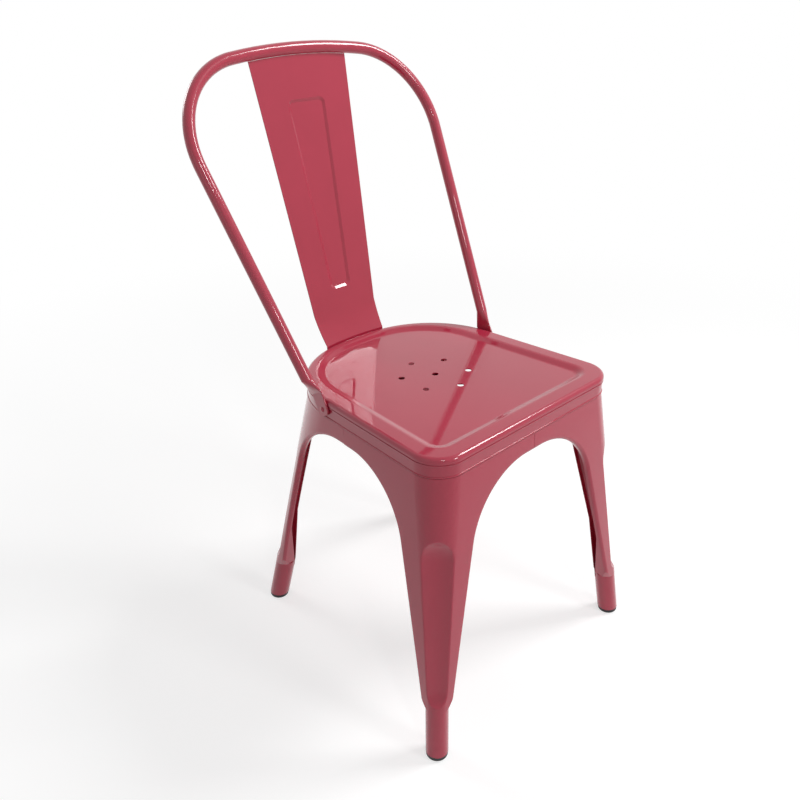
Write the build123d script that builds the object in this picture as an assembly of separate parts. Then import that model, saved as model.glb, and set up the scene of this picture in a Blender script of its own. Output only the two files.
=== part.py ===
"""Pressed-steel stacking side chair: seat pan, four folded legs, bent tube back and splat.

Millimetres, +Z up, the sitter faces -Y and +X is the sitter's left. The chair is drawn about the
middle drain hole of the seat with the floor at zero, and is moved at the end so that the middle of
its footprint box is the origin.
"""

from build123d import *
import math
import os

# Material and fits
sheet = 1.2
tube_wall = 1.2
fit_gap = 0.2
seam_gap = 0.6

# Seat pan: widest at the front, sides that close in towards a round back
seat_height = 447.0
seat_width = 355.0
seat_front = 181.0
seat_back = 178.5
seat_taper = 4.0
front_corner_radius = 41.0
rear_corner_radius = 138.0
rear_radius = 400.0
roll_height = 8.0
roll_radius = 6.0
roll_step = 1.0
skirt_depth = 27.5
rim_width = 25.0
rim_width_rear = 12.0
rim_inner_radius = 16.0
dish_depth = 5.0
dish_run = 10.0
dish_corner_radius = 24.0
dish_edge_radius = 10.0
drain_diameter = 9.4
drain_circle_radius = 49.0
drain_ring_count = 6

# Legs: where each foot's axis meets the floor, measured from the middle of the seat
front_foot_x = 207.0
front_foot_y = 208.0
rear_foot_x = 171.0
rear_foot_y = 219.0
foot_diameter = 32.0
neck_height = 82.0
neck_step = 0.6
funnel_height = 34.0
funnel_flare = 13.0
tongue_height = 19.0
shoulder_gap = 0.8
lip_radius = 5.0
lip_depth = 8.0
lip_widens_above_neck = 88.0
neck_lip_depth = 24.0
notch_width = 9.0
notch_depth = 12.0

# Arches between the legs: drop below the skirt, half width at the sharp corner and the rounding there
front_arch_below_skirt = 25.5
front_arch_half = 100.0
front_arch_radius = 110.0
side_arch_below_skirt = 26.5
side_arch_half = 101.0
side_arch_radius = 112.0
side_seam_y = 4.0
rear_arch_below_skirt = 21.5
rear_arch_half = 78.0
rear_arch_radius = 76.0

# Flute pressed into the corner of each leg
flute_top_below_skirt = 107.5
flute_bottom_above_neck = 37.0
flute_top_radius = 50.0
flute_bottom_radius = 36.0
front_flute_top_depth = 11.0
front_flute_bottom_depth = 8.0
rear_flute_top_depth = 3.0
rear_flute_bottom_depth = 4.0
flute_edge_radius = 3.0

# Rubber glides
glide_height = 8.0
glide_plug = 18.0
glide_edge_radius = 3.5
glide_inset = 0.6

# Back hoop: a tube bent in one leaning plane
overall_height = 852.0
hoop_width = 429.0
tube_diameter = 16.0
hoop_lean = 28.0
hoop_plane_y = 55.0
hoop_foot_out = -4.6
hoop_corner_radius = 115.0
hoop_crown_radius = 815.0
flatten_start = 24.0
flatten_length = 19.0
tab_width = 26.0
tab_slit = 0.3
tab_bottom_above_skirt = 4.0
tab_corner_radius = 9.0

# Rivets that hold the hoop
rivet_diameter = 4.8
rivet_head_diameter = 8.0
rivet_head_height = 2.0
rivet_above_skirt = 12.0

# Back splat
splat_top_width = 164.0
splat_base_width = 118.0
splat_base_above_seat = 43.0
splat_base_behind_seat = 18.0
splat_bend_above_seat = 19.0
splat_bend_behind_seat = 9.5
splat_bend_radius = 700.0
splat_flange_width = 112.0
splat_flange_above_seat = 1.0
splat_flange_depth = 24.0
panel_top_width = 64.0
panel_bottom_width = 36.0
panel_top_below_crown = 70.0
panel_bottom_above_base = 31.0
panel_depth = 2.2
panel_wall_run = 4.0
panel_corner_radius = 9.0

# Crossed braces under the seat, with stacking caps
brace_width = 22.0
brace_thickness = 3.0
brace_drop = 3.0
brace_tab_height = 24.0
cap_length = 30.0
cap_wall = 2.2
cap_depth = 8.0
cap_reach = 104.0
cap_edge_radius = 2.0

skirt_bottom = seat_height - skirt_depth
foot_radius = foot_diameter / 2
neck_radius = foot_radius + neck_step
tube_radius = tube_diameter / 2
leg_top = skirt_bottom - shoulder_gap
tongue_inset = sheet + fit_gap
front_arch_height = skirt_bottom - front_arch_below_skirt
side_arch_height = skirt_bottom - side_arch_below_skirt
rear_arch_height = skirt_bottom - rear_arch_below_skirt
flute_top = skirt_bottom - flute_top_below_skirt
flute_bottom = neck_height + flute_bottom_above_neck
splat_base_height = seat_height + splat_base_above_seat
taper = math.radians(seat_taper)
root_half = math.sqrt(0.5)
far = 2 * overall_height


class Plan:
    """Rounded outline seen from above, given by how far its sides, front and back stand out."""

    def __init__(self, side, front, back, front_radius, corner_radius, back_radius):
        self.sizes = (side, front, back, front_radius, corner_radius, back_radius)
        self.side, self.front, self.back = side, front, back
        self.front_radius, self.corner_radius, self.back_radius = front_radius, corner_radius, back_radius
        front_y = front_radius - front
        front_x = (side - front_radius - front_y * math.sin(taper)) / math.cos(taper)
        self.front_centre = Vector(front_x, front_y)
        self.back_centre = Vector(0, back - back_radius)
        spread = side - corner_radius - self.back_centre.Y * math.sin(taper)
        self.joint = taper + math.acos(spread / (back_radius - corner_radius))
        self.corner_centre = ray(self.back_centre, back_radius - corner_radius, self.joint)

    def inset(self, distance):
        """The same outline with every edge moved inwards."""
        return Plan(*[size - distance for size in self.sizes])

    def face(self):
        """Flat face inside the outline."""
        corner_arc = (self.corner_centre, self.corner_radius)
        turn = (taper - math.pi / 2) / 2
        front_arc = [ray(self.front_centre, self.front_radius, a) for a in (-math.pi / 2, turn, taper)]
        rear_arc = [ray(*corner_arc, a) for a in (taper, (taper + self.joint) / 2, self.joint)]
        half = [
            Edge.make_line(Vector(0, -self.front), front_arc[0]),
            Edge.make_three_point_arc(*front_arc),
            Edge.make_line(front_arc[2], rear_arc[0]),
            Edge.make_three_point_arc(*rear_arc),
        ]
        over = Edge.make_three_point_arc(rear_arc[2], Vector(0, self.back), flipped(rear_arc[2]))
        other = [edge.mirror(Plane.YZ) for edge in half]
        return Face(Wire([*half, over, *other]))


def ray(centre, length, angle):
    """Point at a distance and an angle from a centre, at the same height."""
    return Vector(centre.X + length * math.cos(angle), centre.Y + length * math.sin(angle), centre.Z)


def flipped(point):
    """The same point on the other side of the chair."""
    return Vector(-point.X, point.Y, point.Z)


def seat_plan():
    """Outline over the rolled edge of the seat."""
    front_x = seat_width / 2 - front_corner_radius
    front_y = front_corner_radius - seat_front
    side = front_x * math.cos(taper) + front_y * math.sin(taper) + front_corner_radius
    return Plan(side, seat_front, seat_back, front_corner_radius, rear_corner_radius, rear_radius)


def skirt_plan(inset):
    """Outline of the skirt below the rolled edge, moved inwards."""
    return seat_plan().inset(roll_step + inset)


def dish_plan(inset):
    """Outline of the sunk middle of the seat, moved inwards."""
    whole = seat_plan()
    rim = Plan(
        whole.side - rim_width,
        whole.front - rim_width,
        whole.back - rim_width_rear,
        dish_corner_radius,
        whole.corner_radius - rim_width,
        whole.back_radius - rim_width_rear,
    )
    return rim.inset(inset)


def seat_form(inset, foot):
    """Filled pan, with its faces moved inwards by the inset, standing on the height called foot."""
    top = seat_height - inset
    step = seat_height - roll_height + inset
    form = extrude(Pos(0, 0, step) * seat_plan().inset(inset).face(), top - step)
    form += extrude(Pos(0, 0, foot) * skirt_plan(inset).face(), step - foot)
    floor = top - dish_depth
    form -= loft(
        [Pos(0, 0, floor) * dish_plan(dish_run - inset).face(), Pos(0, 0, top) * dish_plan(-inset).face()]
    )
    form = fillet(flat_face(form, top).outer_wire().edges(), roll_radius - inset)
    form = fillet(flat_face(form, top).inner_wires()[0].edges(), rim_inner_radius - inset)
    return fillet(flat_face(form, floor).outer_wire().edges(), dish_edge_radius + inset)


def flat_face(solid, height):
    """The level face of a solid at a height."""
    return solid.faces().filter_by(Axis.Z).sort_by(lambda face: abs(face.center().Z - height))[0]


def drain_holes():
    """Cutters for one middle hole and a ring around it."""
    ring = PolarLocations(drain_circle_radius, drain_ring_count, start_angle=90)
    holes = [Pos(0, 0, 0), *ring]
    return [place * Cylinder(drain_diameter / 2, far) for place in holes]


class Leg:
    """One leg, drawn in the quarter where x and y are positive."""

    def __init__(self, foot, seam_y, centre, radius, side_angle, joint, back_centre):
        self.foot = Vector(*foot, 0)
        self.seam_y = seam_y
        self.centre = centre
        self.radius = radius
        self.side_angle = side_angle
        self.joint = joint
        self.back_centre = back_centre
        self.crest_angle = (side_angle + joint) / 2

    def axis_at(self, height):
        """Centre of the foot tube, carried on up the leg under the crest of its corner."""
        inner = ray(self.centre, self.radius - foot_radius, self.crest_angle)
        share = height / leg_top
        return self.foot + (inner - self.foot) * share + Vector(0, 0, height)

    def crest_at(self, height):
        """Outermost point of the rounded corner."""
        share = (height - neck_height) / (leg_top - neck_height)
        neck = ray(self.axis_at(neck_height), neck_radius, self.crest_angle)
        top = ray(self.centre, self.radius, self.crest_angle) + Vector(0, 0, leg_top)
        return neck + (top - neck) * share

    def face_at(self, height):
        """How far out the two outer faces stand beside the foot."""
        axis = self.axis_at(height)
        return axis.X + neck_radius, axis.Y + neck_radius

    def section(self, centre, radius, back_centre):
        """Level outline behind a rounded corner and the two faces that run on from it."""
        low = min(0, self.seam_y) - lip_depth
        height = centre.Z
        b, crest, c = [
            ray(centre, radius, angle) for angle in (self.joint, self.crest_angle, self.side_angle)
        ]
        d = Vector(c.X + (c.Y - low) * math.tan(self.side_angle), low, height)
        e = Vector(-lip_depth, low, height)
        if back_centre:
            middle = Vector(0, back_centre.Y, height)
            reach = (b - middle).length
            a = Vector(-lip_depth, middle.Y + math.sqrt(reach**2 - lip_depth**2), height)
            across = Edge.make_three_point_arc(a, Vector(0, middle.Y + reach, height), b)
        else:
            a = Vector(-lip_depth, b.Y + (b.X + lip_depth) / math.tan(self.joint), height)
            across = Edge.make_line(a, b)
        corner = Edge.make_three_point_arc(b, crest, c)
        rest = [Edge.make_line(*ends) for ends in ((c, d), (d, e), (e, a))]
        return Face(Wire([across, corner, *rest]))

    def top_section(self, inset, height):
        """Outline that follows the seat's skirt."""
        centre = self.centre + Vector(0, 0, height)
        return self.section(centre, self.radius - inset, self.back_centre)

    def low_section(self, inset, height):
        """Outline between the neck and the skirt, where the corner opens out steadily."""
        share = (height - neck_height) / (leg_top - neck_height)
        neck = self.axis_at(neck_height)
        centre = neck + (self.centre + Vector(0, 0, leg_top) - neck) * share
        full = neck_radius + (self.radius - neck_radius) * share - inset
        radius = max(full, sheet)
        return self.section(centre + Vector(full - radius, full - radius, 0), radius, None)

    def block(self, inset):
        """Filled space behind the leg's outer faces, moved inwards."""
        return loft([self.low_section(inset, neck_height), self.top_section(inset, leg_top)], ruled=True)

    def core(self):
        """Open space between the rolled lips, which meet as they close round the foot."""
        middle = self.low_section(lip_depth, neck_height + lip_widens_above_neck)
        lower = loft([self.low_section(neck_lip_depth, neck_height), middle], ruled=True)
        return lower + loft([middle, self.top_section(lip_depth, leg_top)], ruled=True)

    def ring(self, outer, inner, low, high):
        """Upright wall that follows the seat's skirt between two insets and two heights."""
        up = (0, 0, 1)
        walls = [extrude(self.top_section(inset, low), high - low, dir=up) for inset in (outer, inner)]
        return walls[0] - walls[1]

    def arches(self, face_arch, side_arch, grow):
        """Cutters for the open arches beside the leg, one through each face."""
        x, y = self.face_at(neck_height)
        across = arch_face(*face_arch, x - foot_diameter, grow)
        along = arch_face(*side_arch, y - foot_diameter, grow)
        return [extrude(Plane.XZ * across, -far), extrude(Plane.YZ * along, far)]

    def rolled(self, solid, block, cutters, radius):
        """Round the edges where the arches break through the outer faces."""
        edges = []
        for edge in solid.edges():
            middle = edge @ 0.5
            probe = Vertex(middle.X, middle.Y, middle.Z)
            inside = neck_height + 0.5 < middle.Z < leg_top - 0.5
            inside = inside and middle.X > seam_gap and middle.Y > self.seam_y + seam_gap
            if inside and touches(probe, [block]) and touches(probe, cutters):
                edges.append(edge)
        return fillet(edges, radius)

    def flute(self, depths, grow):
        """Round-ended tapering cutter that presses the flute into the corner."""
        outward = Vector(root_half, root_half, 0)
        high = self.crest_at(flute_top) + outward * (flute_top_radius - depths[0])
        low = self.crest_at(flute_bottom) + outward * (flute_bottom_radius - depths[1])
        return capsule(high, low, flute_top_radius + grow, flute_bottom_radius + grow)

    def funnel_trim(self, inset):
        """What is cut away around the foot so that the channel narrows into the round tube."""
        low = self.axis_at(neck_height)
        high = self.axis_at(neck_height + funnel_height)
        narrow = neck_radius - inset
        cone = loft([Pos(*low) * Circle(narrow), Pos(*high) * Circle(narrow + funnel_flare)])
        size = 4 * foot_diameter
        around = Pos(low.X, low.Y, low.Z + funnel_height / 2) * Box(size, size, funnel_height)
        return around - cone

    def tube(self, radius, low, high):
        """Leaning round bar along the foot's axis."""
        start = self.axis_at(low)
        run = self.axis_at(high) - start
        on_floor = (Align.CENTER, Align.CENTER, Align.MIN)
        bar = Plane(start - run, z_dir=run) * Cylinder(radius, 3 * run.length, align=on_floor)
        return bar & (Pos(0, 0, (low + high) / 2) * Box(far, far, high - low))

    def notch(self):
        """Round-ended end of the open seam, on the side of the foot that faces the seat's middle."""
        centre = self.axis_at(neck_height)
        inward = Vector(-root_half, -root_half, 0)
        slot = Plane(centre, x_dir=(0, 0, 1), z_dir=inward) * SlotOverall(2 * notch_depth, notch_width)
        return extrude(slot, foot_diameter)

    def build(self, face_arch, side_arch, flute_depths):
        """Folded sheet leg with rolled arches, pressed flute and round hollow foot."""
        outer = self.block(0)
        cutters = self.arches(face_arch, side_arch, 0)
        flute = self.flute(flute_depths, 0)
        core = self.core() - self.flute(flute_depths, lip_depth)
        body = (outer - core - cutters) & self.own_side()
        body = self.rolled(body, outer, cutters, lip_radius) - flute
        body = self.rolled(body, outer, [flute], flute_edge_radius)
        inner = self.block(sheet)
        cutters = self.arches(face_arch, side_arch, sheet)
        flute = self.flute(flute_depths, sheet)
        hollow = self.rolled(inner - cutters, inner, cutters, lip_radius - sheet) - flute
        hollow = self.rolled(hollow, inner, [flute], flute_edge_radius - sheet)
        leg = (body - self.funnel_trim(0)) - (hollow - self.funnel_trim(sheet))
        bore = foot_radius - sheet
        foot = self.tube(foot_radius, glide_height, neck_height) - self.tube(bore, 0, neck_height)
        leg += foot - self.notch()
        tongue_top = leg_top + tongue_height
        wall = self.ring(tongue_inset, tongue_inset + sheet, leg_top - sheet, tongue_top)
        shoulder = self.ring(0, tongue_inset + sheet, leg_top - sheet, leg_top)
        return leg + ((wall + shoulder) & self.own_side())

    def own_side(self):
        """The quarter of the chair this leg may use, short of its seams."""
        corner = Pos(seam_gap / 2, self.seam_y + seam_gap / 2, 0)
        return corner * Box(far, far, far, align=(Align.MIN, Align.MIN, Align.MIN))

    def glide(self):
        """Rubber foot: an upright rounded pad under the tube and a plug inside it."""
        pad = Cylinder(foot_radius - glide_inset, glide_height)
        pad = fillet(pad.edges().group_by(Axis.Z)[0], glide_edge_radius)
        pad = Pos(*self.axis_at(glide_height / 2)) * pad
        plug_radius = foot_radius - sheet - fit_gap
        return pad + self.tube(plug_radius, glide_height, glide_height + glide_plug)


def touches(probe, solids):
    """Whether a point lies on the skin of any of the solids."""
    return any(face.distance_to(probe) < 1e-4 for solid in solids for face in solid.faces())


def arch_face(height, half, radius, foot, grow):
    """Outline of an open arch whose side runs straight down to the foot."""
    low = -lip_depth
    corners = [(-foot, height), (half, height), (foot, neck_height), (foot, low), (-foot, low)]
    outline = make_face(Polyline(*corners, close=True))
    bend = outline.vertices().sort_by_distance((half, height, 0))[0]
    outline = fillet(bend, radius)
    return offset(outline, grow, kind=Kind.INTERSECTION) if grow else outline


def capsule(start, end, start_radius, end_radius):
    """Two balls joined by the cone that touches both."""
    run = end - start
    length = run.length
    slope = (start_radius - end_radius) / length
    rise = math.sqrt(1 - slope * slope)
    side = Plane(start, x_dir=run.normalized(), z_dir=run.cross(Vector(0, 0, 1)).normalized())
    first = (start_radius * slope, start_radius * rise)
    second = (length + end_radius * slope, end_radius * rise)
    first_middle = half_turn_middle(0, start_radius, math.pi, math.acos(slope))
    second_middle = half_turn_middle(length, end_radius, math.acos(slope), 0)
    outline = [
        ThreePointArc((-start_radius, 0), first_middle, first),
        Line(first, second),
        ThreePointArc(second, second_middle, (length + end_radius, 0)),
        Line((length + end_radius, 0), (-start_radius, 0)),
    ]
    return revolve(side * make_face(outline), Axis(start, run))


def half_turn_middle(centre, radius, start, end):
    """Point halfway round an arc about a centre on the axis."""
    angle = (start + end) / 2
    return (centre + radius * math.cos(angle), radius * math.sin(angle))


def hoop_plane():
    """Leaning plane of the back hoop, with its origin level with the seat."""
    lean = math.radians(hoop_lean)
    facing = (0, -math.cos(lean), math.sin(lean))
    return Plane((0, hoop_plane_y, seat_height), x_dir=(1, 0, 0), z_dir=facing)


def hoop_points():
    """Ends of the hoop's straight sides, corner arcs and crown, on the +X half, in its plane."""
    lean = math.radians(hoop_lean)
    crown = (overall_height - tube_radius - seat_height) / math.cos(lean)
    corner_x = hoop_width / 2 - tube_radius - hoop_corner_radius
    reach = hoop_crown_radius - hoop_corner_radius
    corner_y = crown - hoop_crown_radius + math.sqrt(reach**2 - corner_x**2)
    turn = math.asin(corner_x / reach)
    foot = (seat_width / 2 + hoop_foot_out, flatten_start / math.cos(lean))
    run_x, run_y = corner_x - foot[0], corner_y - foot[1]
    splay = math.atan2(run_x, run_y) + math.asin(hoop_corner_radius / math.hypot(run_x, run_y))
    crown_end = (
        hoop_crown_radius * math.sin(turn),
        crown - hoop_crown_radius * (1 - math.cos(turn)),
    )
    bisector = (math.pi / 2 - turn - splay) / 2
    corner_middle = (
        corner_x + hoop_corner_radius * math.cos(bisector),
        corner_y + hoop_corner_radius * math.sin(bisector),
    )
    side_top = (
        corner_x + hoop_corner_radius * math.cos(splay),
        corner_y - hoop_corner_radius * math.sin(splay),
    )
    return foot, side_top, corner_middle, crown_end, (0, crown)


def hoop_path():
    """Centre line of the round part of the hoop, from the -X end to the +X end."""
    foot, side_top, corner_middle, crown_end, crown = hoop_points()
    plane = hoop_plane()
    right = [plane.from_local_coords((x, y, 0)) for x, y in (foot, side_top, corner_middle, crown_end)]
    left = [plane.from_local_coords((-x, y, 0)) for x, y in (foot, side_top, corner_middle, crown_end)]
    top = plane.from_local_coords((*crown, 0))
    return Wire(
        [
            Edge.make_line(left[0], left[1]),
            Edge.make_three_point_arc(left[1], left[2], left[3]),
            Edge.make_three_point_arc(left[3], top, right[3]),
            Edge.make_three_point_arc(right[3], right[2], right[1]),
            Edge.make_line(right[1], right[0]),
        ]
    )


def hoop_tube(radius):
    """Round bar along the hoop."""
    path = hoop_path()
    start = Plane(path @ 0, z_dir=path % 0)
    return sweep(start * Circle(radius), path=path)


def tab_plane():
    """Plane of the flattened -X end: x across the tab, y up along it, z outwards."""
    rise = hoop_path() % 0
    height = skirt_bottom + rivet_above_skirt
    centre_y = hoop_plane_y + (height - seat_height) * math.tan(math.radians(hoop_lean))
    outward = Vector(-math.cos(taper), math.sin(taper), 0)
    stand = seat_plan().side + fit_gap + tube_wall + tab_slit / 2
    centre = Vector((centre_y * outward.Y - stand) / math.cos(taper), centre_y, height)
    along = (rise - outward * rise.dot(outward)).normalized()
    return Plane(centre, x_dir=along.cross(outward), z_dir=outward)


def oval_section(plane, half_across, half_thick):
    """Four-sided section: a circle, or a slot with round ends when it is wider than it is thick."""
    is_round = half_across == half_thick
    corner_x = half_across * root_half if is_round else half_across - half_thick
    corner_y = half_thick * root_half if is_round else half_thick
    marks = [
        (corner_x, corner_y),
        (0, half_thick),
        (-corner_x, corner_y),
        (-half_across, 0),
        (-corner_x, -corner_y),
        (0, -half_thick),
        (corner_x, -corner_y),
        (half_across, 0),
    ]
    points = [plane.from_local_coords((x, y, 0)) for x, y in marks]
    edges = []
    for i in range(0, 8, 2):
        start, middle, end = points[i], points[i + 1], points[(i + 2) % 8]
        straight = not is_round and i % 4 == 0
        edges.append(
            Edge.make_line(start, end) if straight else Edge.make_three_point_arc(start, middle, end)
        )
    return Face(Wire(edges))


def hoop_end(inset):
    """Flattened -X end: round tube squeezed to a flat tab, moved inwards by the wall."""
    tab = tab_plane()
    path = hoop_path()
    top_height = seat_height + flatten_start - flatten_length
    low_height = skirt_bottom + tab_bottom_above_skirt
    top, low = [
        tab.origin + tab.y_dir * ((height - tab.origin.Z) / tab.y_dir.Z) for height in (top_height, low_height)
    ]
    rise = path % 0
    across = (tab.x_dir - rise * rise.dot(tab.x_dir)).normalized()
    round_plane = Plane(path @ 0, x_dir=across, z_dir=rise)
    flat_plane = Plane(top, x_dir=tab.x_dir, z_dir=tab.y_dir)
    thick = tube_wall + tab_slit / 2 - inset
    flat = oval_section(flat_plane, tab_width / 2 - inset, thick)
    squeeze = loft([flat, oval_section(round_plane, tube_radius - inset, tube_radius - inset)])
    length = (top - low).length + inset
    plate = extrude(flat, -length, dir=tab.y_dir)
    if inset:
        return squeeze + plate
    centre = tab.to_local_coords(low)
    outline = RectangleRounded(tab_width, 2 * length, tab_corner_radius)
    outline = tab * Pos(0, centre.Y + length, 0) * outline
    return squeeze + (plate & extrude(outline, far, both=True))


def both_sides(shape):
    """A piece on the -X side and its mirror image."""
    return [shape, mirror(shape, Plane.YZ)]


def rivet_holes():
    """Cutters for the rivets, a little wider than the shank."""
    hole = tab_plane() * Cylinder(rivet_diameter / 2 + fit_gap, 4 * rivet_head_diameter)
    return both_sides(hole)


def rivets():
    """Domed rivets through the tab, the skirt and the rear leg's tongue, one on each side."""
    on_floor = (Align.CENTER, Align.CENTER, Align.MIN)
    face = tube_wall + tab_slit / 2 + fit_gap
    grip = face + roll_step + tongue_inset + sheet + fit_gap
    ball = (rivet_head_diameter**2 / 4 + rivet_head_height**2) / (2 * rivet_head_height)
    dome = Pos(0, 0, face + rivet_head_height - ball) * Sphere(ball)
    dome &= Pos(0, 0, face) * Cylinder(ball, ball, align=on_floor)
    shank = Pos(0, 0, -grip) * Cylinder(rivet_diameter / 2, face + grip, align=on_floor)
    tail = Pos(0, 0, -grip - rivet_head_height) * Cylinder(
        rivet_head_diameter / 2, rivet_head_height, align=on_floor
    )
    return both_sides(tab_plane() * (dome + shank + tail))


def splat_plane():
    """Plane of the flat part of the splat: x across, y up along it, z to the front."""
    crown = hoop_plane().from_local_coords((*hoop_points()[4], 0))
    base = Vector(0, seat_back + splat_base_behind_seat, splat_base_height)
    rise = (crown - base).normalized()
    return Plane(base, x_dir=(1, 0, 0), z_dir=Vector(1, 0, 0).cross(rise))


def splat_band(centre, thick_dir, width, radius):
    """Thin bent section of the splat; a flat one when no radius is given."""
    half = width / 2
    edges = []
    rims = []
    for side in (-sheet / 2, sheet / 2):
        middle = centre + thick_dir * side
        bend = radius + side if radius else 0
        drop = bend - math.sqrt(bend**2 - half**2) if radius else 0
        ends = [Vector(x, middle.Y - drop, middle.Z) for x in (-half, half)]
        rims.append(ends)
        if radius:
            edges.append(Edge.make_three_point_arc(ends[0], middle, ends[1]))
        else:
            edges.append(Edge.make_line(*ends))
    links = [Edge.make_line(rims[0][i], rims[1][i]) for i in (0, 1)]
    return Face(Wire([edges[0], links[1], edges[1], links[0]]))


def panel_outline(height_low, height_high, shrink):
    """Tapered outline of the panel pressed into the splat, in the splat's plane."""
    corners = [
        (-panel_bottom_width / 2 + shrink, height_low + shrink),
        (panel_bottom_width / 2 - shrink, height_low + shrink),
        (panel_top_width / 2 - shrink, height_high - shrink),
        (-panel_top_width / 2 + shrink, height_high - shrink),
    ]
    outline = make_face(Polyline(*corners, close=True))
    return fillet(outline.vertices(), panel_corner_radius - shrink)


def splat():
    """Flat tapered plate with a pressed panel, kicked forward to a curved flange behind the seat."""
    plane = splat_plane()
    rise = plane.y_dir
    length = (overall_height - tube_radius - splat_base_height) / rise.Z
    corners = [
        (-splat_base_width / 2, 0),
        (splat_base_width / 2, 0),
        (splat_top_width / 2, length),
        (-splat_top_width / 2, length),
    ]
    plate = plane * extrude(make_face(Polyline(*corners, close=True)), sheet / 2, both=True)
    low = panel_bottom_above_base / rise.Z
    high = (overall_height - panel_top_below_crown - splat_base_height) / rise.Z
    plate += plane * panel_block(low, high, -sheet / 2, sheet)
    plate -= plane * panel_block(low, high, sheet / 2, 0)
    plate -= hoop_tube(tube_radius + fit_gap)
    backward = Vector(0, 1, 0)
    middle_width = (splat_base_width + splat_flange_width) / 2
    bend = Vector(0, seat_back + splat_bend_behind_seat, seat_height + splat_bend_above_seat)
    behind = Vector(0, seat_back + 2 * fit_gap + sheet / 2, seat_height + splat_flange_above_seat)
    sections = [
        splat_band(plane.origin, plane.z_dir * -1, splat_base_width, None),
        splat_band(bend, backward, middle_width, splat_bend_radius),
        splat_band(behind, backward, splat_flange_width, flange_radius()),
    ]
    flange = extrude(sections[2], splat_flange_depth, dir=(0, 0, -1))
    return plate.solids().sort_by(Axis.Z)[0] + loft(sections) + flange


def flange_radius():
    """Radius of the splat's flange, which follows the back of the seat across its width."""
    plan = seat_plan()
    half = splat_flange_width / 2
    beside = half - plan.corner_centre.X
    end = plan.corner_centre.Y + math.sqrt(plan.corner_radius**2 - beside**2)
    drop = plan.back - end
    return (half**2 + drop**2) / (2 * drop)


def panel_block(low, high, face, grow):
    """Tapered block between a face of the plate and the panel's floor behind it."""
    wide = panel_outline(low - grow, high + grow, -grow / 2)
    narrow = panel_outline(low - grow, high + grow, panel_wall_run - grow / 2)
    return loft([Pos(0, 0, face) * wide, Pos(0, 0, face - panel_depth) * narrow])


def reach_to_arc(start, along, centre, radius):
    """How far a bar runs from its start before a corner of its end meets an arc."""
    run = centre - start
    ahead = run.dot(along)
    beside = math.sqrt(max(run.length**2 - ahead**2, 0)) + brace_width / 2
    return ahead + math.sqrt(radius**2 - beside**2) - fit_gap


def brace_cross():
    """Where the braces cross, set so that both run into the front corners at 45 degrees."""
    centre = seat_plan().front_centre
    return Vector(0, centre.X + centre.Y)


def brace(level, direction, tab_height):
    """Flat bar with both ends turned down against the insides of two legs."""
    cross = brace_cross()
    inner = skirt_plan(tongue_inset + sheet)
    along = Vector(direction * root_half, root_half)
    to_front, to_rear = Vector(root_half, -root_half), Vector(root_half, root_half)
    reach_front = reach_to_arc(cross, to_front, inner.front_centre, inner.front_radius)
    reach_rear = reach_to_arc(cross, to_rear, inner.corner_centre, inner.corner_radius)
    low = level - tab_height
    under = level - brace_thickness
    corners = [
        (-reach_front, low),
        (-reach_front, level),
        (reach_rear, level),
        (reach_rear, low),
        (reach_rear - brace_thickness, low),
        (reach_rear - brace_thickness, under),
        (-reach_front + brace_thickness, under),
        (-reach_front + brace_thickness, low),
    ]
    side = Plane(cross, x_dir=along, z_dir=along.cross(Vector(0, 0, 1)))
    return extrude(side * make_face(Polyline(*corners, close=True)), brace_width / 2, both=True)


def brace_cap(level, direction, end):
    """Plastic saddle round a brace, so that stacked chairs don't scratch."""
    across = brace_width + 2 * cap_wall
    top = level + fit_gap + cap_wall
    tall = cap_wall + 2 * fit_gap + brace_thickness + cap_depth
    block = Pos(0, 0, -tall / 2) * Box(cap_length, across, tall)
    lower = block.edges().group_by(Axis.Z)[0]
    block = fillet(lower, cap_edge_radius)
    bar = brace_thickness + 2 * fit_gap
    passage = Box(2 * cap_length, brace_width + 2 * fit_gap, bar)
    block -= Pos(0, 0, -cap_wall - bar / 2) * passage
    turn = 45 if direction > 0 else 135
    place = brace_cross() + Vector(direction * root_half, root_half) * (end * cap_reach)
    return Pos(place.X, place.Y, top) * Rot(0, 0, turn) * block


def seat():
    """Pressed seat pan with its drain holes and rivet holes."""
    pan = seat_form(0, skirt_bottom) - seat_form(sheet, skirt_bottom - sheet)
    return pan - drain_holes() - rivet_holes()


def hoop():
    """Bent tube back with flattened, drilled ends."""
    outer = hoop_tube(tube_radius)
    bore = hoop_tube(tube_radius - tube_wall)
    for end in both_sides(hoop_end(0)):
        outer += end
    for end in both_sides(hoop_end(tube_wall)):
        bore += end
    return outer - bore - rivet_holes()


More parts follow.
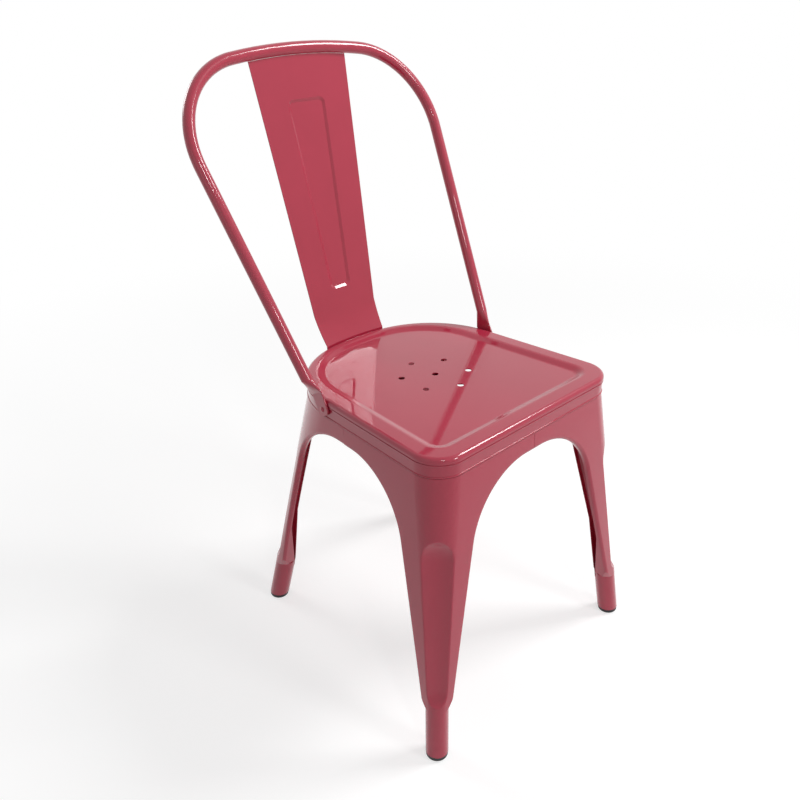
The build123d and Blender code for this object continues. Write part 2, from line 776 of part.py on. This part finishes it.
def build():
    """Every piece of the chair under its own name."""
    pieces = {"seat_pan": seat(), "back_hoop": hoop(), "back_splat": splat()}
    skirt = skirt_plan(0)
    front_centre = Vector(skirt.front_centre.X, -skirt.front_centre.Y)
    front_foot = (front_foot_x, front_foot_y)
    front = Leg(front_foot, -side_seam_y, front_centre, skirt.front_radius, -taper, math.pi / 2, None)
    rear_foot = (rear_foot_x, rear_foot_y)
    rear = Leg(
        rear_foot,
        side_seam_y,
        skirt.corner_centre,
        skirt.corner_radius,
        taper,
        skirt.joint,
        skirt.back_centre,
    )
    front_arch = (front_arch_height, front_arch_half, front_arch_radius)
    rear_arch = (rear_arch_height, rear_arch_half, rear_arch_radius)
    front_side = (side_arch_height, side_arch_half - side_seam_y, side_arch_radius)
    rear_side = (side_arch_height, side_arch_half + side_seam_y, side_arch_radius)
    front_flute = (front_flute_top_depth, front_flute_bottom_depth)
    rear_flute = (rear_flute_top_depth, rear_flute_bottom_depth)
    front_leg = mirror(front.build(front_arch, front_side, front_flute), Plane.XZ)
    rear_leg = rear.build(rear_arch, rear_side, rear_flute)
    corners = {
        "front": (front_leg, mirror(front.glide(), Plane.XZ)),
        "rear": (rear_leg, rear.glide()),
    }
    for end, (leg, glide) in corners.items():
        drilled = leg - rivet_holes() if end == "rear" else leg
        for side, shape in (("left", drilled), ("right", mirror(drilled, Plane.YZ))):
            pieces[f"leg_{end}_{side}"] = shape
        for side, shape in (("left", glide), ("right", mirror(glide, Plane.YZ))):
            pieces[f"foot_glide_{end}_{side}"] = shape
    level = seat_height - sheet - dish_depth - brace_drop
    lower = level - brace_thickness
    pieces["brace_upper"] = brace(level, 1, brace_tab_height)
    pieces["brace_lower"] = brace(lower, -1, brace_tab_height - brace_thickness)
    pieces["brace_cap_rear_left"] = brace_cap(level, 1, 1)
    pieces["brace_cap_front_right"] = brace_cap(level, 1, -1)
    pieces["brace_cap_rear_right"] = brace_cap(lower, -1, 1)
    pieces["brace_cap_front_left"] = brace_cap(lower, -1, -1)
    pieces["hoop_rivets"] = Compound(rivets())
    return pieces


def main():
    """Centre the chair on its footprint and write one file for each piece."""
    pieces = build()
    box = Compound([shape for shape in pieces.values()]).bounding_box()
    home = Pos(-box.center().X, -box.center().Y, -box.min.Z)
    os.makedirs("parts", exist_ok=True)
    for name, shape in pieces.items():
        export_step(home * shape, f"parts/{name}.step")


if __name__ == "__main__":
    main()
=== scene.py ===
# %% [markdown]
# # A gloss-painted pressed-steel chair
# The chair is folded and pressed from thin sheet, with one bent tube for its back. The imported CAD
# model comes in first and stays where it is: every piece below is placed against it, in metres.

# %% Load the frame
import math

import bmesh
import bpy
from mathutils import Matrix, Vector


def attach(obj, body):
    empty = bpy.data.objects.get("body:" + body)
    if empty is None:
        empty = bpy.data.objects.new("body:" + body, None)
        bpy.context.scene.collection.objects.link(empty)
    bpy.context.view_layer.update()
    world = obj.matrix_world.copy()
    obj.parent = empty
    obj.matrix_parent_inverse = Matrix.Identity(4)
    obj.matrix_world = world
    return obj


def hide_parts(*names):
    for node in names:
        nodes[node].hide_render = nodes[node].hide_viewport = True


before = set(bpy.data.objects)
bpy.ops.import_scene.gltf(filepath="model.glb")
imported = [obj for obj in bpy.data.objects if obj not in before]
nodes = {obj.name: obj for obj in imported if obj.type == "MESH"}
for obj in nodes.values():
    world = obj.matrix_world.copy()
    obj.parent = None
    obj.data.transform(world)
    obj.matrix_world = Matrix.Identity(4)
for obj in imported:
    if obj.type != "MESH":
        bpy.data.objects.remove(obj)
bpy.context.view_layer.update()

scene = bpy.context.scene
scene.view_settings.view_transform = "Standard"

# %% [markdown]
# ## Small helpers
# Colours are written as the hex values a paint chart would give. Blender's shaders work in linear
# light, so one function converts them. Another adds a node of any kind to any tree, sets its
# properties and fills its sockets, either with a value or with a link from another node's socket.

# %% Helpers
MM = 0.001


def linear(code):
    """An sRGB hex colour as linear red, green, blue and alpha."""
    parts = [int(code[i : i + 2], 16) / 255 for i in (1, 3, 5)]
    return [c / 12.92 if c <= 0.04045 else ((c + 0.055) / 1.055) ** 2.4 for c in parts] + [1.0]


def add(tree, kind, sockets=(), **settings):
    """Add one node, set its properties and fill its sockets with values or links."""
    made = tree.nodes.new(kind)
    for name, value in settings.items():
        setattr(made, name, value)
    for key, value in dict(sockets).items():
        if isinstance(value, bpy.types.NodeSocket):
            tree.links.new(value, made.inputs[key])
        else:
            made.inputs[key].default_value = value
    return made


def empty_material(name):
    """A material with nothing in its tree but the output."""
    material = bpy.data.materials.new(name)
    material.use_nodes = True
    material.node_tree.nodes.clear()
    return material, material.node_tree


print("white is", linear("#FFFFFF")[:3])

# %% [markdown]
# ## The paint
# The real finish is a gloss polyester powder coat, sprayed dry and baked until it flows. It never
# levels quite flat: a faint orange peel of soft bumps stays in the gloss, and the coat is a little
# thicker in some places than in others, which shifts the colour by a shade. A clear coat on top of a
# coloured base gives that look: the base scatters the red, and the coat carries the sharp
# reflections of the room. The peel is drawn coarser than the real 2 to 4 mm, so that it shows.

# %% Powder coat
PAINT = "#B62D47"
PAINT_DEEP = "#AE2A42"
CLOUD_WIDTH = 70.0 * MM
PEEL_WIDTH = 7.0 * MM
PEEL_HEIGHT = 0.4 * MM
PEEL_STRENGTH = 0.012
BASE_ROUGHNESS = 0.35
BASE_SPECULAR = 0.12
COAT_ROUGHNESS = (0.035, 0.065)
COAT_IOR = 1.45


def coat_colour(tree, place):
    """Broad soft clouds, and the red that shifts with them."""
    cloud = add(
        tree,
        "ShaderNodeTexNoise",
        {"Vector": place, "Scale": 1 / CLOUD_WIDTH, "Detail": 2.0, "Roughness": 0.5},
    ).outputs["Fac"]
    colour = add(
        tree,
        "ShaderNodeMix",
        {0: cloud, 6: linear(PAINT), 7: linear(PAINT_DEEP)},
        data_type="RGBA",
    ).outputs[2]
    return cloud, colour


def powder_coat():
    """Gloss red powder coat with faint orange peel."""
    material, tree = empty_material("red_gloss_powder_coat")
    place = add(tree, "ShaderNodeTexCoord").outputs["Object"]
    cloud, colour = coat_colour(tree, place)
    gloss = add(
        tree,
        "ShaderNodeMapRange",
        {"Value": cloud, "To Min": COAT_ROUGHNESS[0], "To Max": COAT_ROUGHNESS[1]},
    )
    peel = add(
        tree,
        "ShaderNodeTexNoise",
        {"Vector": place, "Scale": 1 / PEEL_WIDTH, "Detail": 1.0, "Roughness": 0.4},
    )
    bump = add(
        tree,
        "ShaderNodeBump",
        {"Height": peel.outputs["Fac"], "Strength": PEEL_STRENGTH, "Distance": PEEL_HEIGHT},
    )
    shader = add(
        tree,
        "ShaderNodeBsdfPrincipled",
        {
            "Base Color": colour,
            "Roughness": BASE_ROUGHNESS,
            "Specular IOR Level": BASE_SPECULAR,
            "Coat Weight": 1.0,
            "Coat Roughness": gloss.outputs["Result"],
            "Coat Normal": bump.outputs["Normal"],
            "Coat IOR": COAT_IOR,
        },
    )
    add(tree, "ShaderNodeOutputMaterial", {"Surface": shader.outputs["BSDF"]})
    return material


paint = powder_coat()
print("made", paint.name)

# %% [markdown]
# ## Rubber and plastic
# The glides are moulded from black rubber: dull, a little dusty where they meet the floor. The caps on
# the braces are moulded polypropylene with a fine spark-eroded grain. Both are near black, so what
# tells them apart is the gloss and the size of the grain.

# %% Rubber and polypropylene
RUBBER = "#17171A"
RUBBER_DUST = "#2B2A2C"
PLASTIC = "#141416"
PLASTIC_WORN = "#1F1F22"
DUST_WIDTH = 9.0 * MM
SHINE_SPREAD = 0.08
GRAIN_STRENGTH = 0.35


def moulded(name, colour, second, grain, roughness, depth):
    """Dull moulded black with a grain of a given width in millimetres."""
    material, tree = empty_material(name)
    place = add(tree, "ShaderNodeTexCoord").outputs["Object"]
    dust = add(tree, "ShaderNodeTexNoise", {"Vector": place, "Scale": 1 / DUST_WIDTH, "Detail": 3.0})
    tint = add(
        tree,
        "ShaderNodeMix",
        {0: dust.outputs["Fac"], 6: linear(colour), 7: linear(second)},
        data_type="RGBA",
    )
    shine = add(
        tree,
        "ShaderNodeMapRange",
        {
            "Value": dust.outputs["Fac"],
            "To Min": roughness - SHINE_SPREAD,
            "To Max": roughness + SHINE_SPREAD,
        },
    )
    grit = add(tree, "ShaderNodeTexNoise", {"Vector": place, "Scale": 1 / (grain * MM), "Detail": 2.0})
    bump = add(
        tree,
        "ShaderNodeBump",
        {"Height": grit.outputs["Fac"], "Strength": GRAIN_STRENGTH, "Distance": depth * MM},
    )
    shader = add(
        tree,
        "ShaderNodeBsdfPrincipled",
        {
            "Base Color": tint.outputs[2],
            "Roughness": shine.outputs["Result"],
            "Normal": bump.outputs["Normal"],
            "IOR": 1.5,
        },
    )
    add(tree, "ShaderNodeOutputMaterial", {"Surface": shader.outputs["BSDF"]})
    return material


rubber = moulded("black_moulded_rubber", RUBBER, RUBBER_DUST, 1.2, 0.62, 0.15)
plastic = moulded("black_grained_polypropylene", PLASTIC, PLASTIC_WORN, 0.8, 0.5, 0.1)
print("made", rubber.name, "and", plastic.name)

# %% [markdown]
# ## Smooth skins for the sheet metal
# The CAD shapes are right, so they are kept, but they arrive as loose triangles and gloss paint shows
# every facet. A copy of each mesh is merged along its seams, shaded smooth except at folds sharper than
# a set angle, and given normals weighted by face area, so that a flat panel stays flat right up to
# the rolled edge beside it.

# %% Painted pieces
FOLD_ANGLE = math.radians(22)
MERGE_DISTANCE = 0.002 * MM
PAINTED = [
    "seat_pan",
    "back_hoop",
    "back_splat",
    "leg_front_left",
    "leg_front_right",
    "leg_rear_left",
    "leg_rear_right",
    "brace_upper",
    "brace_lower",
]
MOULDED = {
    "foot_glide": rubber,
    "brace_cap": plastic,
}


def skin(node, name, material):
    """A merged, smooth-shaded copy of a node's mesh that stands for the node."""
    mesh = nodes[node].data.copy()
    mesh.name = name
    work = bmesh.new()
    work.from_mesh(mesh)
    bmesh.ops.remove_doubles(work, verts=work.verts, dist=MERGE_DISTANCE)
    bmesh.ops.dissolve_degenerate(work, edges=work.edges, dist=MERGE_DISTANCE)
    work.to_mesh(mesh)
    work.free()
    if "custom_normal" in mesh.attributes:
        mesh.attributes.remove(mesh.attributes["custom_normal"])
    mesh.shade_smooth()
    mesh.set_sharp_from_angle(angle=FOLD_ANGLE)
    mesh.materials.clear()
    mesh.materials.append(material)
    piece = bpy.data.objects.new(name, mesh)
    scene.collection.objects.link(piece)
    weighted = piece.modifiers.new("flat_panels", "WEIGHTED_NORMAL")
    weighted.keep_sharp = True
    weighted.weight = 100
    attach(piece, "root")
    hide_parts(node)
    return piece


skins = [skin(node, f"{node}_skin", paint) for node in PAINTED]
for node in sorted(nodes):
    for kind, material in MOULDED.items():
        if node.startswith(kind):
            skins.append(skin(node, f"{node}_skin", material))
print("skins", len(skins), "triangles", sum(len(piece.data.polygons) for piece in skins))

# %% [markdown]
# ## Rivets
# Two rivets hold the flattened ends of the hoop against the seat. Each has a low domed head outside and
# a flat tail inside. A rivet repeats, so Geometry Nodes makes one and puts a copy on every point of a
# small mesh, turned to the direction stored on that point. The head starts as a plain cylinder whose
# cap has several rings, and its points are raised by a parabola to make the dome.

# %% Rivet tree
HEAD_DIAMETER = 8.0 * MM
DOME_HEIGHT = 1.8 * MM
HEAD_RIM = 0.2 * MM
TAIL_HEIGHT = 2.0 * MM
SHANK_DIAMETER = 4.8 * MM


def rivet_head():
    """Start the rivet's tree with its inputs and its domed head."""
    tree = bpy.data.node_groups.new("rivets", "GeometryNodeTree")
    face = tree.interface
    face.new_socket("Geometry", in_out="INPUT", socket_type="NodeSocketGeometry")
    for name in ("Head diameter", "Dome", "Rim", "Tail", "Shank diameter", "Grip"):
        face.new_socket(name, in_out="INPUT", socket_type="NodeSocketFloat")
    face.new_socket("Paint", in_out="INPUT", socket_type="NodeSocketMaterial")
    face.new_socket("Geometry", in_out="OUTPUT", socket_type="NodeSocketGeometry")
    given = add(tree, "NodeGroupInput").outputs
    radius = add(
        tree, "ShaderNodeMath", {0: given["Head diameter"], 1: 2.0}, operation="DIVIDE"
    ).outputs["Value"]
    disc = add(
        tree,
        "GeometryNodeMeshCylinder",
        {
            "Vertices": 40,
            "Side Segments": 1,
            "Fill Segments": 8,
            "Radius": radius,
            "Depth": given["Rim"],
        },
        fill_type="TRIANGLE_FAN",
    ).outputs["Mesh"]
    spot = add(tree, "GeometryNodeInputPosition").outputs["Position"]
    flat = add(
        tree, "ShaderNodeVectorMath", {0: spot, 1: (1, 1, 0)}, operation="MULTIPLY"
    ).outputs["Vector"]
    reach = add(tree, "ShaderNodeVectorMath", {0: flat}, operation="LENGTH").outputs["Value"]
    share = add(tree, "ShaderNodeMath", {0: reach, 1: radius}, operation="DIVIDE").outputs["Value"]
    square = add(tree, "ShaderNodeMath", {0: share, 1: share}, operation="MULTIPLY").outputs["Value"]
    bowl = add(tree, "ShaderNodeMath", {0: 1.0, 1: square}, operation="SUBTRACT").outputs["Value"]
    rise = add(
        tree, "ShaderNodeMath", {0: bowl, 1: given["Dome"]}, operation="MULTIPLY"
    ).outputs["Value"]
    above = add(tree, "ShaderNodeSeparateXYZ", {0: spot}).outputs["Z"]
    upper = add(tree, "ShaderNodeMath", {0: above, 1: 0.0}, operation="GREATER_THAN").outputs["Value"]
    lift = add(tree, "ShaderNodeCombineXYZ", {"Z": rise}).outputs["Vector"]
    head = add(
        tree, "GeometryNodeSetPosition", {"Geometry": disc, "Selection": upper, "Offset": lift}
    ).outputs["Geometry"]
    return tree, given, radius, head


def rivet_tree():
    """Geometry Nodes: a domed rivet on every point, facing the point's outward attribute."""
    tree, given, radius, head = rivet_head()
    shank_radius = add(
        tree, "ShaderNodeMath", {0: given["Shank diameter"], 1: 2.0}, operation="DIVIDE"
    ).outputs["Value"]
    shank = add(
        tree,
        "GeometryNodeMeshCylinder",
        {"Vertices": 24, "Radius": shank_radius, "Depth": given["Grip"]},
    ).outputs["Mesh"]
    half = add(tree, "ShaderNodeMath", {0: given["Grip"], 1: -2.0}, operation="DIVIDE").outputs["Value"]
    shank_place = add(tree, "ShaderNodeCombineXYZ", {"Z": half}).outputs["Vector"]
    shank = add(
        tree, "GeometryNodeTransform", {"Geometry": shank, "Translation": shank_place}
    ).outputs["Geometry"]
    tail = add(
        tree,
        "GeometryNodeMeshCylinder",
        {"Vertices": 24, "Radius": radius, "Depth": given["Tail"]},
    ).outputs["Mesh"]
    grip_end = add(
        tree, "ShaderNodeMath", {0: given["Grip"], 1: -1.0}, operation="MULTIPLY"
    ).outputs["Value"]
    drop = add(
        tree,
        "ShaderNodeMath",
        {0: given["Tail"], 1: -0.5, 2: grip_end},
        operation="MULTIPLY_ADD",
    ).outputs["Value"]
    tail_place = add(tree, "ShaderNodeCombineXYZ", {"Z": drop}).outputs["Vector"]
    tail = add(
        tree, "GeometryNodeTransform", {"Geometry": tail, "Translation": tail_place}
    ).outputs["Geometry"]
    whole = add(tree, "GeometryNodeJoinGeometry")
    for part in (tail, shank, head):
        tree.links.new(part, whole.inputs["Geometry"])
    outward = add(
        tree, "GeometryNodeInputNamedAttribute", {"Name": "outward"}, data_type="FLOAT_VECTOR"
    )
    turn = add(
        tree, "FunctionNodeAlignRotationToVector", {"Vector": outward.outputs["Attribute"]}, axis="Z"
    ).outputs["Rotation"]
    placed = add(
        tree,
        "GeometryNodeInstanceOnPoints",
        {"Points": given["Geometry"], "Instance": whole.outputs["Geometry"], "Rotation": turn},
    ).outputs["Instances"]
    real = add(tree, "GeometryNodeRealizeInstances", {"Geometry": placed}).outputs["Geometry"]
    painted = add(
        tree, "GeometryNodeSetMaterial", {"Geometry": real, "Material": given["Paint"]}
    ).outputs["Geometry"]
    add(tree, "NodeGroupOutput", {"Geometry": painted})
    return tree


rivets_tree = rivet_tree()
print("rivet tree has", len(rivets_tree.nodes), "nodes")

# %% [markdown]
# ## Setting the rivets
# The places come from the CAD node itself: on each side, the point that reaches furthest along the
# outward direction is the top of the dome, and the whole reach gives the length of the grip. The
# modifier's inputs are set by their identifiers, and the evaluated result becomes a plain mesh.

# %% Rivets in place
SEAT_TAPER = math.radians(4.0)


def made_real(name, points, tree, values):
    """Run a Geometry Nodes tree on a mesh and keep the result as a plain mesh object."""
    source = bpy.data.objects.new(f"{name}_points", points)
    scene.collection.objects.link(source)
    modifier = source.modifiers.new("tree", "NODES")
    modifier.node_group = tree
    for item in tree.interface.items_tree:
        if item.in_out == "INPUT" and item.name in values:
            modifier[item.identifier] = values[item.name]
    view = bpy.context.evaluated_depsgraph_get()
    mesh = bpy.data.meshes.new_from_object(source.evaluated_get(view))
    source.modifiers.remove(modifier)
    bpy.data.objects.remove(source)
    mesh.name = name
    mesh.shade_smooth()
    mesh.set_sharp_from_angle(angle=FOLD_ANGLE)
    piece = bpy.data.objects.new(name, mesh)
    scene.collection.objects.link(piece)
    return piece


def rivet_points():
    """Base of each rivet's dome, with its outward direction, and the grip between head and tail."""
    spots, ways = [], []
    for side in (-1, 1):
        way = Vector((side * math.cos(SEAT_TAPER), math.sin(SEAT_TAPER), 0))
        near = [v.co for v in nodes["hoop_rivets"].data.vertices if v.co.x * side > 0]
        reach = [p.dot(way) for p in near]
        top = near[reach.index(max(reach))]
        spots.append(top - way * (DOME_HEIGHT + HEAD_RIM / 2))
        ways.append(way)
        grip = max(reach) - min(reach) - DOME_HEIGHT - HEAD_RIM / 2 - TAIL_HEIGHT
    return spots, ways, grip


spots, ways, grip = rivet_points()
points = bpy.data.meshes.new("rivet_points")
points.from_pydata(spots, [], [])
outward = points.attributes.new("outward", "FLOAT_VECTOR", "POINT")
outward.data.foreach_set("vector", [part for way in ways for part in way])
rivets = made_real(
    "hoop_rivets_domed",
    points,
    rivets_tree,
    {
        "Head diameter": HEAD_DIAMETER,
        "Dome": DOME_HEIGHT,
        "Rim": HEAD_RIM,
        "Tail": TAIL_HEIGHT,
        "Shank diameter": SHANK_DIAMETER,
        "Grip": grip,
        "Paint": paint,
    },
)
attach(rivets, "root")
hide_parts("hoop_rivets")
print("rivets", len(spots), "grip in mm", round(grip / MM, 2), "faces", len(rivets.data.polygons))

# %% [markdown]
# ## Beads on the skirt
# Two thin bright lines run round the seat's skirt, one just under the rolled edge and one along the
# hem. What raises them on the real sheet can't be seen, so each is made as a fine round bead, which
# catches the light in the same way. A bead follows a path, so Geometry Nodes sweeps a small circle
# along it. The path is cut from the seat itself: a level plane through the skirt gives its outline,
# which is set at both heights.

# %% Bead tree
BEAD_RADIUS = 1.0 * MM
BEAD_STEP = 4.0 * MM


def bead_tree():
    """Geometry Nodes: a round bead swept along every edge path."""
    tree = bpy.data.node_groups.new("beads", "GeometryNodeTree")
    face = tree.interface
    face.new_socket("Geometry", in_out="INPUT", socket_type="NodeSocketGeometry")
    for name in ("Bead radius", "Step"):
        face.new_socket(name, in_out="INPUT", socket_type="NodeSocketFloat")
    face.new_socket("Paint", in_out="INPUT", socket_type="NodeSocketMaterial")
    face.new_socket("Geometry", in_out="OUTPUT", socket_type="NodeSocketGeometry")
    given = add(tree, "NodeGroupInput").outputs
    path = add(tree, "GeometryNodeMeshToCurve", {"Mesh": given["Geometry"]}).outputs["Curve"]
    even = add(
        tree, "GeometryNodeResampleCurve", {"Curve": path, "Length": given["Step"]}, mode="LENGTH"
    ).outputs["Curve"]
    ring = add(
        tree, "GeometryNodeCurvePrimitiveCircle", {"Resolution": 12, "Radius": given["Bead radius"]}
    ).outputs["Curve"]
    swept = add(tree, "GeometryNodeCurveToMesh", {"Curve": even, "Profile Curve": ring}).outputs["Mesh"]
    real = add(tree, "GeometryNodeRealizeInstances", {"Geometry": swept}).outputs["Geometry"]
    painted = add(
        tree, "GeometryNodeSetMaterial", {"Geometry": real, "Material": given["Paint"]}
    ).outputs["Geometry"]
    add(tree, "NodeGroupOutput", {"Geometry": painted})
    return tree


beads_tree = bead_tree()
print("bead tree has", len(beads_tree.nodes), "nodes")

# %% Beads in place
CREASE_BELOW_TOP = 10.4 * MM
CUT_ABOVE_HEM = 4.5 * MM


def skirt_outline(mesh, height):
    """Points round the outside of the skirt, where a level plane cuts it."""
    work = bmesh.new()
    work.from_mesh(mesh)
    whole = work.verts[:] + work.edges[:] + work.faces[:]
    cut = bmesh.ops.bisect_plane(work, geom=whole, plane_co=(0, 0, height), plane_no=(0, 0, 1))
    left = [part for part in cut["geom_cut"] if isinstance(part, bmesh.types.BMEdge)]
    loops = []
    while left:
        start, here = left.pop(0).verts
        loop = [start.co.copy()]
        while here is not start:
            loop.append(here.co.copy())
            onward = next(edge for edge in here.link_edges if edge in left)
            left.remove(onward)
            here = onward.other_vert(here)
        loops.append(loop)
    work.free()
    return max(loops, key=lambda loop: max(point.x for point in loop))


seat_mesh = nodes["seat_pan"].data
seat_skin = skins[PAINTED.index("seat_pan")].data
seat_top = max(v.co.z for v in seat_mesh.vertices)
seat_hem = min(v.co.z for v in seat_mesh.vertices)
outline = skirt_outline(seat_skin, seat_hem + CUT_ABOVE_HEM)
path_points, path_edges = [], []
for height in (seat_top - CREASE_BELOW_TOP, seat_hem + BEAD_RADIUS):
    first = len(path_points)
    path_points += [(point.x, point.y, height) for point in outline]
    path_edges += [(first + i, first + (i + 1) % len(outline)) for i in range(len(outline))]
paths = bpy.data.meshes.new("bead_paths")
paths.from_pydata(path_points, path_edges, [])
beads = made_real(
    "seat_pan_beads",
    paths,
    beads_tree,
    {"Bead radius": BEAD_RADIUS, "Step": BEAD_STEP, "Paint": paint},
)
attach(beads, "root")
print("outline points", len(outline), "bead faces", len(beads.data.polygons))

# %% [markdown]
# ## Studio
# The chair stands on a pale floor under soft light. The background is white because camera rays, and
# the rays that make reflections, see a white of strength 1, while the light that reaches the chair
# comes from soft lamps and a dimmer sky. Near the chair the floor mixes its true shaded self into that
# white, so the shadow stays, and further out it turns to plain white. It is seen from above only, so
# that the underside of the chair can be looked at too.

# %% Floor and sky
SKY_LEVEL = 0.22
SHADOW_SHARE = 0.55
NEAR_WHITE = 1.4
SHADOW_REACH = (0.5, 2.2)
FLOOR_HALF = 60.0
FLOOR_GREY = "#F2F2F2"


def seen_directly(tree):
    """1 for camera, glossy and transmission rays, 0 for the light that falls on the chair."""
    path = add(tree, "ShaderNodeLightPath").outputs
    first = add(
        tree, "ShaderNodeMath", {0: path["Is Camera Ray"], 1: path["Is Glossy Ray"]}, operation="MAXIMUM"
    ).outputs["Value"]
    return add(
        tree, "ShaderNodeMath", {0: first, 1: path["Is Transmission Ray"]}, operation="MAXIMUM"
    ).outputs["Value"]


def make_floor():
    """Large pale sheet under the chair."""
    mesh = bpy.data.meshes.new("floor")
    turns = ((-1, -1), (1, -1), (1, 1), (-1, 1))
    corners = [(x * FLOOR_HALF, y * FLOOR_HALF, 0) for x, y in turns]
    mesh.from_pydata(corners, [], [(0, 1, 2, 3)])
    floor = bpy.data.objects.new("floor", mesh)
    scene.collection.objects.link(floor)
    material, tree = empty_material("pale_floor")
    grey = add(tree, "ShaderNodeBsdfDiffuse", {"Color": linear(FLOOR_GREY)}).outputs["BSDF"]
    bright = add(tree, "ShaderNodeEmission", {"Strength": NEAR_WHITE}).outputs["Emission"]
    white = add(tree, "ShaderNodeEmission", {"Strength": 1.0}).outputs["Emission"]
    clear = add(tree, "ShaderNodeBsdfTransparent").outputs["BSDF"]
    place = add(tree, "ShaderNodeTexCoord").outputs["Object"]
    away = add(tree, "ShaderNodeVectorMath", {0: place}, operation="LENGTH").outputs["Value"]
    far = add(
        tree,
        "ShaderNodeMapRange",
        {"Value": away, "From Min": SHADOW_REACH[0], "From Max": SHADOW_REACH[1]},
        interpolation_type="SMOOTHSTEP",
    ).outputs["Result"]
    below = add(tree, "ShaderNodeNewGeometry").outputs["Backfacing"]
    near = add(tree, "ShaderNodeMixShader", {0: SHADOW_SHARE, 1: bright, 2: grey}).outputs["Shader"]
    shown = add(tree, "ShaderNodeMixShader", {0: far, 1: near, 2: white}).outputs["Shader"]
    lit = add(tree, "ShaderNodeMixShader", {0: seen_directly(tree), 1: grey, 2: shown}).outputs["Shader"]
    sided = add(tree, "ShaderNodeMixShader", {0: below, 1: lit, 2: clear}).outputs["Shader"]
    add(tree, "ShaderNodeOutputMaterial", {"Surface": sided})
    mesh.materials.append(material)


def make_sky():
    """White for what is seen, dimmer for what lights the chair."""
    world = bpy.data.worlds.new("studio")
    world.use_nodes = True
    tree = world.node_tree
    tree.nodes.clear()
    strength = add(
        tree, "ShaderNodeMapRange", {"Value": seen_directly(tree), "To Min": SKY_LEVEL, "To Max": 1.0}
    ).outputs["Result"]
    sky = add(tree, "ShaderNodeBackground", {"Color": linear("#FFFFFF"), "Strength": strength})
    add(tree, "ShaderNodeOutputWorld", {"Surface": sky.outputs["Background"]})
    scene.world = world


make_floor()
make_sky()
print("floor and sky at", SKY_LEVEL)

# %% [markdown]
# ## Lamps
# Thin pressed edges only read in gloss paint when something bright is reflected in them. So the lamps
# are small squares: a high one on the sitter's left, which draws the bright lines along the roll and at
# the foot of the panel, one in front, a spark near the camera, and weak ones for the side and back.

# %% Lamps
LAMPS = {
    "overhead": ((1.35, -0.75, 2.15), (0, 0, 0.4), 0.6, 30.0),
    "front": ((0.5, -2.2, 1.6), (0, 0, 0.45), 0.5, 14.0),
    "corner": ((-0.8, -1.6, 2.1), (0, 0, 0.45), 0.22, 5.0),
    "side": ((-2.2, -0.2, 1.3), (0, 0, 0.45), 0.9, 1.0),
    "back": ((-0.5, 2.2, 1.7), (0, 0, 0.5), 0.8, 12.0),
}


def lamp(name, place, target, size, power):
    """Square soft lamp that looks at a point."""
    light = bpy.data.lights.new(name, "AREA")
    light.size = size
    light.energy = power
    holder = bpy.data.objects.new(name, light)
    holder.location = place
    holder.rotation_euler = (Vector(target) - Vector(place)).to_track_quat("-Z", "Y").to_euler()
    scene.collection.objects.link(holder)


for name, settings in LAMPS.items():
    lamp(name, *settings)
print("lamps", sorted(LAMPS))

# %% [markdown]
# ## Camera
# The camera looks down at the chair's front right corner from about 0.9 m above the floor. Its turn,
# tilt and lens come from fitting the seat and the four feet to the picture, and a small shift frames
# the chair as there.

# %% Camera
CAMERA_PLACE = (-0.6959, -0.7147, 0.9147)
CAMERA_TURN = math.radians(42.86)
CAMERA_TILT = math.radians(31.42)
CAMERA_ROLL = math.radians(-1.29)
SENSOR = 36.0
LENS = 34.29
SHIFT = (-0.0098, 0.0623)

ahead = Vector(
    (
        math.sin(CAMERA_TURN) * math.cos(CAMERA_TILT),
        math.cos(CAMERA_TURN) * math.cos(CAMERA_TILT),
        -math.sin(CAMERA_TILT),
    )
)
level = Vector((math.cos(CAMERA_TURN), -math.sin(CAMERA_TURN), 0))
upright = level.cross(ahead)
right = math.cos(CAMERA_ROLL) * level + math.sin(CAMERA_ROLL) * upright
above = math.cos(CAMERA_ROLL) * upright - math.sin(CAMERA_ROLL) * level
lens = bpy.data.cameras.new("camera")
lens.sensor_width = SENSOR
lens.lens = LENS
lens.shift_x, lens.shift_y = SHIFT
camera = bpy.data.objects.new("camera", lens)
turned = Matrix((right, above, -ahead)).transposed().to_4x4()
turned.translation = Vector(CAMERA_PLACE)
camera.matrix_world = turned
scene.collection.objects.link(camera)
scene.camera = camera
print("camera lens", LENS, "mm")
